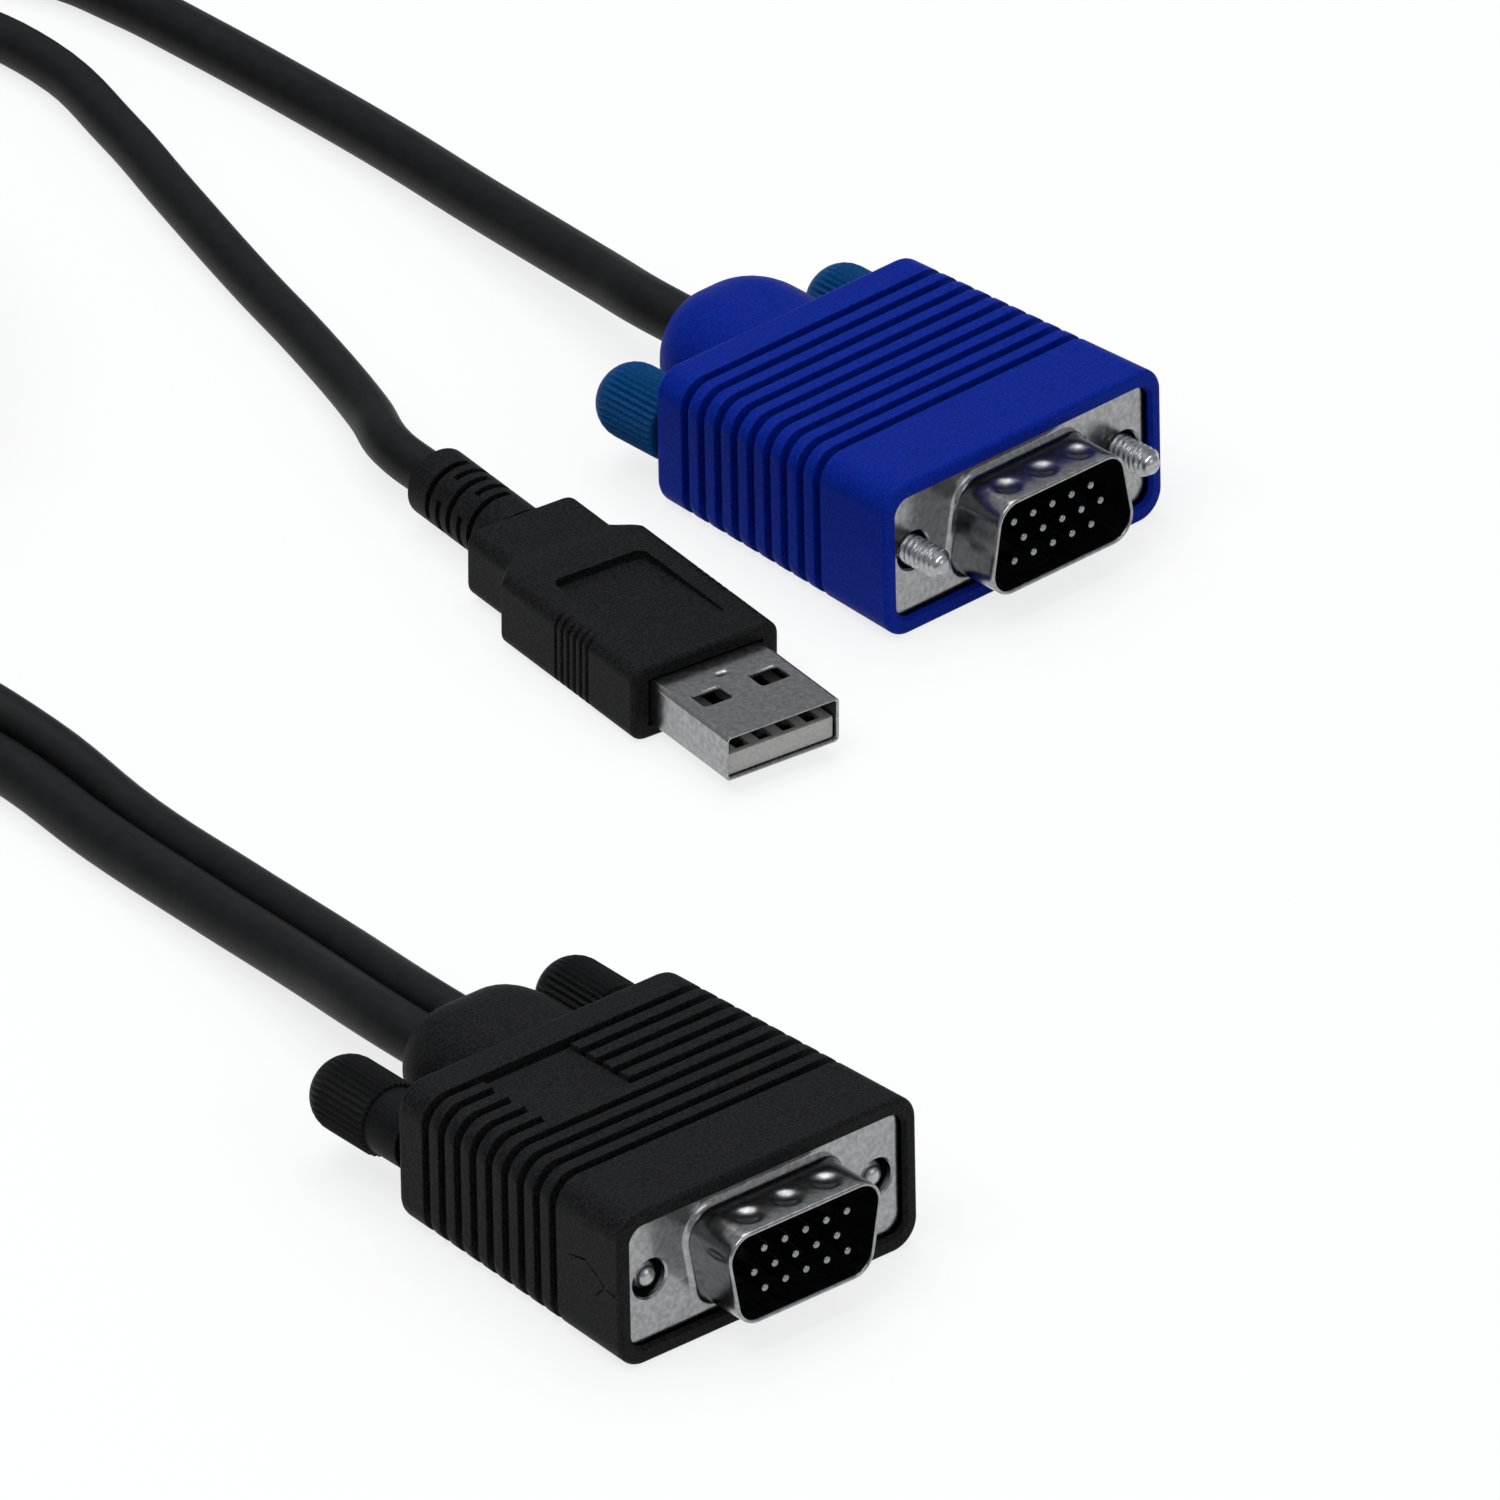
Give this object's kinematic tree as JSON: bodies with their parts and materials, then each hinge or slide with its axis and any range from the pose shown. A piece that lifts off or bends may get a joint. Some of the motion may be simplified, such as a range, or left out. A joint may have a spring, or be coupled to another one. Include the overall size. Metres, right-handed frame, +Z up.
{
  "type": "kvm cable",
  "caption": "Computer switch cable: a black D-sub plug on a twin cord that splits to a blue D-sub plug and a flat USB plug, with the spare length coiled.",
  "frame": {"origin": "on the floor, under the middle of the box round the three plugs", "axes": "+Z up; the plugs point along -Y and towards +X, between 35 and 42.5 degrees from -Y"},
  "size_m": [0.1862, 0.2377, 0.0206],
  "materials": {
    "black_pvc": "moulded PVC, fine satin grain",
    "black_knob_pvc": "moulded PVC, ridged",
    "blue_pvc": "moulded PVC, fine satin grain",
    "blue_knob_pvc": "moulded PVC, ridged",
    "cord_pvc": "extruded soft PVC jacket, satin",
    "nickel_plated_steel": "nickel plated, drawn",
    "nickel_plated_brass": "nickel plated, drawn wire",
    "zinc_plated_steel": "zinc plated",
    "black_insulator": "moulded polyester",
    "white_tongue": "moulded polyester",
    "black_tie": "moulded nylon"
  },
  "bodies": {
    "cable": {"black_hood": "black_pvc", "black_shell": "nickel_plated_steel", "black_insulator": "black_insulator", "black_pin_01": "nickel_plated_brass", "black_pin_02": "nickel_plated_brass", "black_pin_03": "nickel_plated_brass", "black_pin_04": "nickel_plated_brass", "black_pin_05": "nickel_plated_brass", "black_pin_06": "nickel_plated_brass", "black_pin_07": "nickel_plated_brass", "black_pin_08": "nickel_plated_brass", "black_pin_09": "nickel_plated_brass", "black_pin_10": "nickel_plated_brass", "black_pin_11": "nickel_plated_brass", "black_pin_12": "nickel_plated_brass", "black_pin_13": "nickel_plated_brass", "black_pin_14": "nickel_plated_brass", "black_pin_15": "nickel_plated_brass", "blue_hood": "blue_pvc", "blue_shell": "nickel_plated_steel", "blue_insulator": "black_insulator", "blue_pin_01": "nickel_plated_brass", "blue_pin_02": "nickel_plated_brass", "blue_pin_03": "nickel_plated_brass", "blue_pin_04": "nickel_plated_brass", "blue_pin_05": "nickel_plated_brass", "blue_pin_06": "nickel_plated_brass", "blue_pin_07": "nickel_plated_brass", "blue_pin_08": "nickel_plated_brass", "blue_pin_09": "nickel_plated_brass", "blue_pin_10": "nickel_plated_brass", "blue_pin_11": "nickel_plated_brass", "blue_pin_12": "nickel_plated_brass", "blue_pin_13": "nickel_plated_brass", "blue_pin_14": "nickel_plated_brass", "blue_pin_15": "nickel_plated_brass", "usb_body": "black_pvc", "usb_shell": "nickel_plated_steel", "usb_tongue": "white_tongue", "usb_contact_1": "nickel_plated_brass", "usb_contact_2": "nickel_plated_brass", "usb_contact_3": "nickel_plated_brass", "usb_contact_4": "nickel_plated_brass", "twin_thick_cord": "cord_pvc", "twin_thin_cord": "cord_pvc", "cord_coil": "cord_pvc", "thick_leg": "cord_pvc", "thin_leg": "cord_pvc", "coil_tie": "black_tie"},
    "black_thumbscrew_left": {"black_knob_left": "black_knob_pvc", "black_screw_left": "zinc_plated_steel"},
    "black_thumbscrew_right": {"black_knob_right": "black_knob_pvc", "black_screw_right": "zinc_plated_steel"},
    "blue_thumbscrew_left": {"blue_knob_left": "blue_knob_pvc", "blue_screw_left": "zinc_plated_steel"},
    "blue_thumbscrew_right": {"blue_knob_right": "blue_knob_pvc", "blue_screw_right": "zinc_plated_steel"}
  },
  "joints": [
    {"name": "black_thumbscrew_left_turn", "type": "hinge", "parent": "cable", "child": "black_thumbscrew_left", "pos_m": [-0.00768, -0.08138, 0.00758], "axis": [0.6384, -0.7693, 0.0258], "continuous": true},
    {"name": "black_thumbscrew_right_turn", "type": "hinge", "parent": "cable", "child": "black_thumbscrew_right", "pos_m": [0.01154, -0.06542, 0.00758], "axis": [0.6384, -0.7693, 0.0258], "continuous": true},
    {"name": "blue_thumbscrew_left_turn", "type": "hinge", "parent": "cable", "child": "blue_thumbscrew_left", "pos_m": [0.03353, 0.05419, 0.00758], "axis": [0.6754, -0.737, 0.0258], "continuous": true},
    {"name": "blue_thumbscrew_right_turn", "type": "hinge", "parent": "cable", "child": "blue_thumbscrew_right", "pos_m": [0.0151, 0.03731, 0.00758], "axis": [0.6754, -0.737, 0.0258], "continuous": true}
  ]
}
